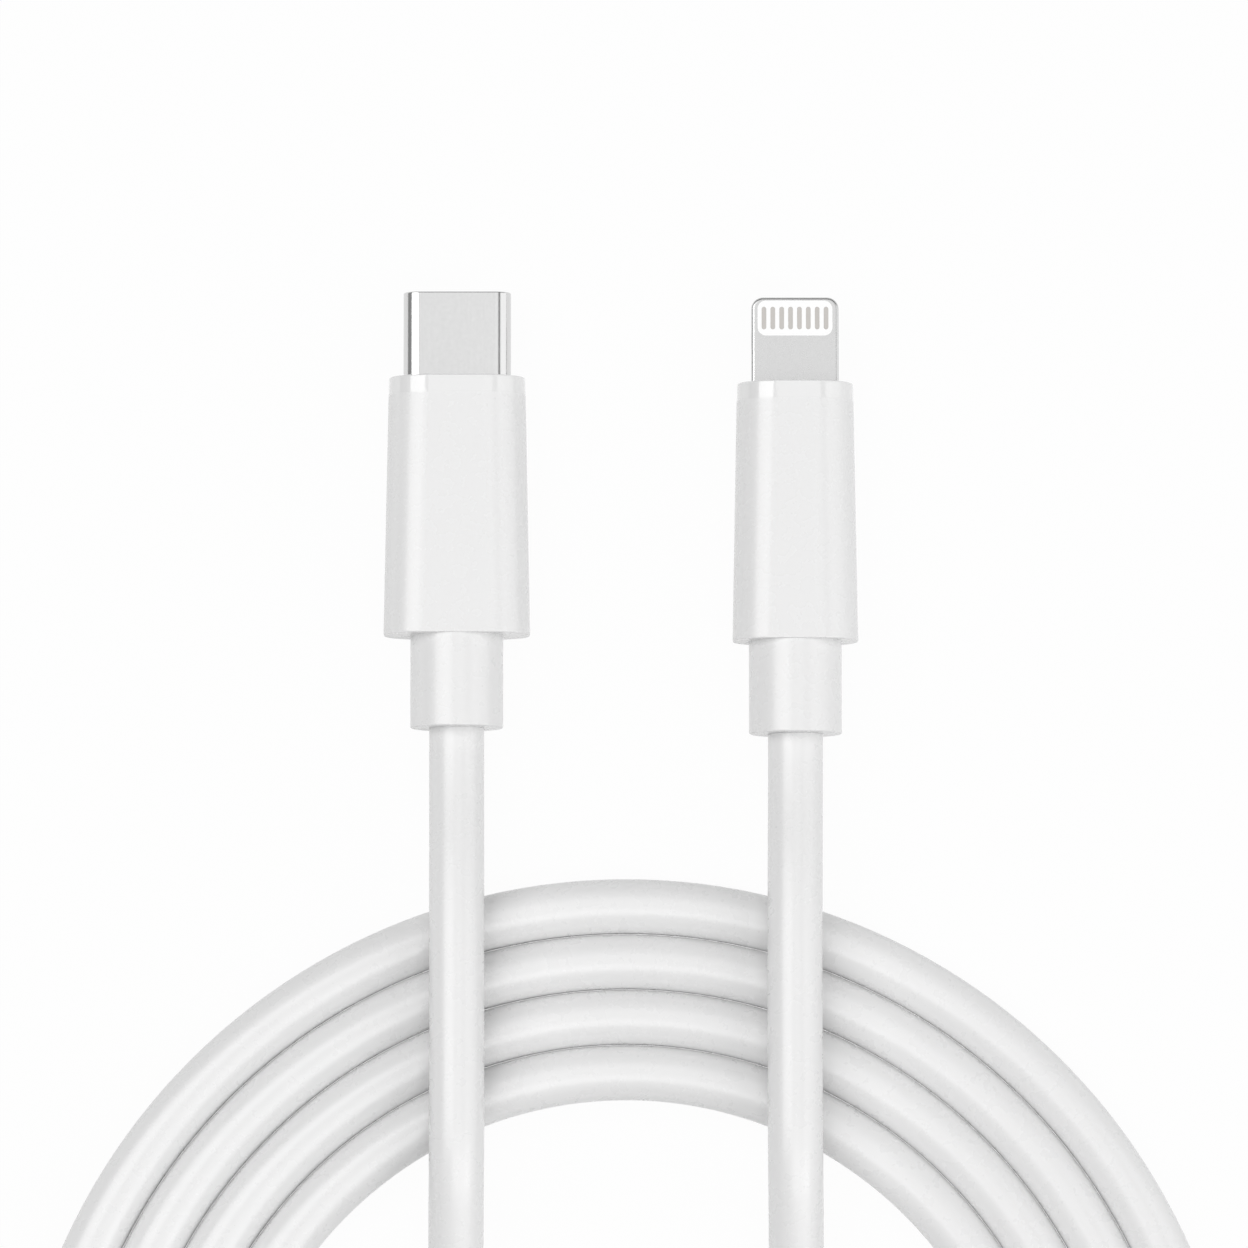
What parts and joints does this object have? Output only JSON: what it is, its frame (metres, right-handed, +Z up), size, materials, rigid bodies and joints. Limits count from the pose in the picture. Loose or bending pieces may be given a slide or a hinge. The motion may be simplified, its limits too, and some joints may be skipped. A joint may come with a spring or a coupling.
{
  "type": "charging cable",
  "caption": "Slim white charging cable with a USB-C plug and a reversible contact-tab plug side by side, the cable wound in a flat coil.",
  "frame": {"origin": "on the table, at the middle of the box round the two plugs", "axes": "+Z up from the table; +Y the way both plugs point; +X from the USB-C plug to the tab plug"},
  "size_m": [0.094, 0.1368, 0.0129],
  "materials": {
    "housing_plastic": "satin white polycarbonate",
    "collar_plastic": "glossy white polycarbonate",
    "relief_plastic": "satin white elastomer",
    "jacket": "satin white thermoplastic elastomer",
    "inner_moulding": "moulded, matte",
    "can_metal": "stamped tinned steel",
    "board": "laminate with solder mask",
    "crimp_metal": "pressed steel",
    "power_insulation": "red insulation",
    "ground_insulation": "black insulation",
    "data_plus_insulation": "green insulation",
    "data_minus_insulation": "white insulation",
    "shell_metal": "drawn stainless steel, bright",
    "insulator_plastic": "black glass-filled polymer",
    "contact_metal": "gold-plated copper alloy",
    "tab_contact_metal": "matte plating",
    "spring_metal": "spring steel",
    "tab_metal": "satin steel",
    "plate_plastic": "white moulding",
    "package": "moulded package"
  },
  "bodies": {
    "root": {"cable_coil": "jacket", "eight_pin_back_contacts": "tab_contact_metal", "eight_pin_back_plate": "plate_plastic", "eight_pin_capacitors": "package", "eight_pin_circuit_board": "board", "eight_pin_collar": "collar_plastic", "eight_pin_control_chip": "package", "eight_pin_crimp_ring": "crimp_metal", "eight_pin_data_minus_wire": "data_minus_insulation", "eight_pin_data_plus_wire": "data_plus_insulation", "eight_pin_front_contacts": "tab_contact_metal", "eight_pin_front_plate": "plate_plastic", "eight_pin_ground_wire": "ground_insulation", "eight_pin_housing": "housing_plastic", "eight_pin_inner_mould": "inner_moulding", "eight_pin_jacket_end": "jacket", "eight_pin_lead": "jacket", "eight_pin_power_wire": "power_insulation", "eight_pin_shield_can_bottom": "can_metal", "eight_pin_shield_can_top": "can_metal", "eight_pin_strain_relief": "relief_plastic", "eight_pin_tab": "tab_metal", "usb_c_board_parts": "package", "usb_c_circuit_board": "board", "usb_c_collar": "collar_plastic", "usb_c_crimp_ring": "crimp_metal", "usb_c_data_minus_wire": "data_minus_insulation", "usb_c_data_plus_wire": "data_plus_insulation", "usb_c_ground_springs": "spring_metal", "usb_c_ground_wire": "ground_insulation", "usb_c_housing": "housing_plastic", "usb_c_inner_mould": "inner_moulding", "usb_c_insulator": "insulator_plastic", "usb_c_jacket_end": "jacket", "usb_c_latch_plate": "spring_metal", "usb_c_lead": "jacket", "usb_c_lower_contacts": "contact_metal", "usb_c_power_wire": "power_insulation", "usb_c_shell": "shell_metal", "usb_c_shield_can_bottom": "can_metal", "usb_c_shield_can_top": "can_metal", "usb_c_strain_relief": "relief_plastic", "usb_c_upper_contacts": "contact_metal"}
  },
  "joints": []
}
